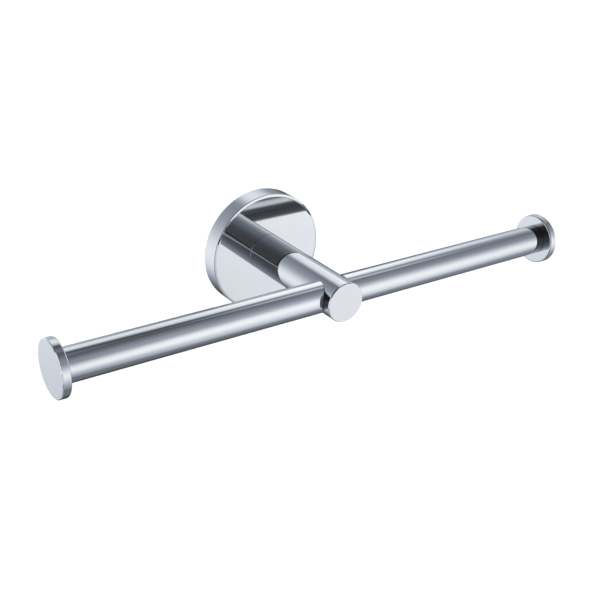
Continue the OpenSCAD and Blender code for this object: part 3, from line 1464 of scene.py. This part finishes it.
@dataclass(frozen=True)
class SoftLight:
    """One soft light of the studio, far away, which fades out all round.

    Attributes:
        heading: Its direction as seen from above: 0 is in front of the wall and 90 to the right.
        height: Its angle above the horizon.
        reach: The angle at which it has faded.
        strength: Its brightness.
        sharpness: How suddenly it fades there.
    """

    heading: float
    height: float
    reach: float
    strength: float
    sharpness: float = 4.0

    def glow(self, desk: NodeDesk, way: Socket) -> Value:
        """Lays out how much of the light comes from a direction.

        Args:
            desk: The tree of the studio's air.
            way: The direction.

        Returns:
            The share of its strength, from 0 to 1.
        """
        angle = desk.math("ARCCOSINE", desk.dot(way, far_way(self.heading, self.height)))
        spread = desk.math("POWER", angle / math.radians(self.reach), self.sharpness)
        return desk.math("EXPONENT", spread * -1.0)


@dataclass
class Studio:
    """The pale floor, the soft light and the camera.

    Attributes:
        floor_height: The floor's height.
        floor_size: The length of the floor's sides.
        floor_colour: The floor's colour.
        floor_roughness: The floor's roughness.
        floor_light: The strength of the light from above.
        floor_light_spread: The angle that this light comes from, in degrees.
        air_colour: The colour that the camera sees round the floor.
        shade: The brightness of the air between the soft lights.
        brightest: The brightness that the tints are a share of.
        tints: The air's tint at each such share.
        lights: The soft lights, first those that a polished piece mirrors when it is seen from the
            camera, and then those that only its edges and other sides mirror.
        camera_heading: The camera's direction, as a soft light's.
        camera_height: The camera's angle above the horizon.
        camera_roll: The camera's turn about its own line of sight, in degrees.
        camera_distance: The distance from the camera to its target.
        camera_lens: The camera's focal length, in millimetres.
        camera_near: The nearest distance that the camera sees.
        camera_target: The point that the camera looks at.
    """

    floor_height: float = -0.62
    floor_size: float = 24.0
    floor_colour: Triple = (0.92, 0.92, 0.93)
    floor_roughness: float = 0.9
    floor_light: float = 2.4
    floor_light_spread: float = 120
    air_colour: Triple = (1.0, 1.0, 1.0)
    shade: float = 0.03
    brightest: float = 1.6
    tints: tuple[tuple[float, Triple], ...] = (
        (0.08, (1.0, 1.0, 1.0)),
        (0.14, (0.79, 0.86, 1.0)),
        (0.25, (0.77, 0.86, 1.0)),
        (0.44, (0.81, 0.88, 1.0)),
        (0.63, (0.85, 0.915, 1.0)),
        (0.95, (0.97, 0.985, 1.0)),
    )
    lights: tuple[SoftLight, ...] = (
        SoftLight(150, 39, 20, 1.34, 3.6),
        SoftLight(55, 42, 25, 0.21, 9.0),
        SoftLight(91, -16, 53, 0.19, 9.0),
        SoftLight(-121, -26, 47, 1.03, 3.3),
        SoftLight(93, 56, 8, 0.84, 2.7),
        SoftLight(10, -6, 41, 0.73, 2.8),
        SoftLight(40, -8, 66, 0.22, 10.0),
        SoftLight(39, -5, 28, 0.72, 3.4),
        SoftLight(-157, 8, 42, 0.47, 7.5),
        SoftLight(124, 52, 8.5, 0.73, 3.1),
        SoftLight(44, -40, 14, 0.42, 2.7),
        SoftLight(114, 19, 31, 0.67, 8.0),
        SoftLight(-70, -18, 16, 0.8, 8.0),
        SoftLight(0, 90, 20, 0.6),
        SoftLight(0, -90, 21, 0.35),
        SoftLight(-74, 6, 14, 1.1, 8.0),
        SoftLight(-90, 27, 14, 1.2, 8.0),
        SoftLight(90, 0, 30, 0.5),
        SoftLight(180, 0, 28, 0.7),
    )
    camera_heading: float = -35.83
    camera_height: float = 26.185
    camera_roll: float = 2.613
    camera_distance: float = 500.62 * MM
    camera_lens: float = 60.98
    camera_near: float = 10 * MM
    camera_target: Triple = (-13.0 * MM, -60.0 * MM, -3.8 * MM)

    def build(self) -> None:
        """Sets the whole studio up."""
        bpy.context.scene.view_settings.view_transform = "Standard"
        self.lay_floor()
        self.light_air()
        self.light_floor()
        self.place_camera()

    def lay_floor(self) -> None:
        """Lays a plain pale floor, which polished pieces don't mirror."""
        bm = bmesh.new()
        bmesh.ops.create_grid(bm, x_segments=1, y_segments=1, size=self.floor_size / 2)
        mesh = finished_mesh(bm, "studio_floor")
        floor = bpy.data.objects.new("studio_floor", mesh)
        floor.location.z = self.floor_height
        floor.visible_glossy = False
        bpy.context.scene.collection.objects.link(floor)
        paint = bpy.data.materials.new("floor_paint")
        paint.use_nodes = True
        shader = paint.node_tree.nodes["Principled BSDF"]
        shader.inputs["Base Color"].default_value = (*self.floor_colour, 1.0)
        shader.inputs["Roughness"].default_value = self.floor_roughness
        mesh.materials.append(paint)

    def light_air(self) -> None:
        """Surrounds the holder with soft lights, which the camera doesn't see."""
        world = bpy.data.worlds.new("studio_air")
        bpy.context.scene.world = world
        world.use_nodes = True
        world.node_tree.nodes.clear()
        desk = NodeDesk(world.node_tree)
        way = desk.add("ShaderNodeTexCoord").outputs["Generated"]
        total: Value | float = self.shade
        for light in self.lights:
            total = desk.math("MULTIPLY_ADD", light.glow(desk, way), light.strength, total)
        tint = desk.ramp(total / self.brightest, self.tints)
        around = desk.add("ShaderNodeBackground", {"Color": tint, "Strength": total})
        seen = desk.add("ShaderNodeBackground", {"Color": (*self.air_colour, 1.0)})
        to_camera = desk.add("ShaderNodeLightPath").outputs["Is Camera Ray"]
        both = desk.add("ShaderNodeMixShader", {0: to_camera, 1: around.outputs[0], 2: seen.outputs[0]})
        desk.add("ShaderNodeOutputWorld", {"Surface": both.outputs[0]})

    def light_floor(self) -> None:
        """Adds a wide light from above, which polished pieces don't mirror."""
        lamp = bpy.data.lights.new("ceiling_light", "SUN")
        lamp.energy = self.floor_light
        lamp.angle = math.radians(self.floor_light_spread)
        ceiling = bpy.data.objects.new("ceiling_light", lamp)
        ceiling.visible_glossy = False
        bpy.context.scene.collection.objects.link(ceiling)

    def place_camera(self) -> None:
        """Puts the camera where the holder looks as it should."""
        back = far_way(self.camera_heading, self.camera_height)
        camera = bpy.data.objects.new("camera", bpy.data.cameras.new("camera"))
        camera.data.lens = self.camera_lens
        camera.data.clip_start = self.camera_near
        camera.rotation_mode = "QUATERNION"
        roll = Matrix.Rotation(math.radians(self.camera_roll), 3, "Z")
        turn = (-back).to_track_quat("-Z", "Y").to_matrix() @ roll
        camera.rotation_quaternion = turn.to_quaternion()
        camera.location = Vector(self.camera_target) + back * self.camera_distance
        bpy.context.scene.collection.objects.link(camera)
        bpy.context.scene.camera = camera


def main() -> None:
    """Builds the studio and every piece of the holder."""
    logging.basicConfig(level=logging.INFO, format="%(name)s: %(message)s")
    Studio().build()
    chrome = POLISHED_CHROME.material()
    zinc = ZINC_PLATE.material()
    screws = threaded_rod_tree()
    m4 = Thread(screws, *M4_THREAD)
    m6 = Thread(screws, *M6_THREAD)
    WallSide(MACHINED_STEEL.material()).build()
    RosettePart(chrome, PLATED_CASTING.material(), zinc, m4).build()
    PostPart(chrome, zinc, m6).build()
    brass = TURNED_BRASS.material()
    CrossBars(chrome, TURNED_CHROME.material(), zinc, brass, m6, coped_tube_tree()).build()


if __name__ == "__main__":
    main()
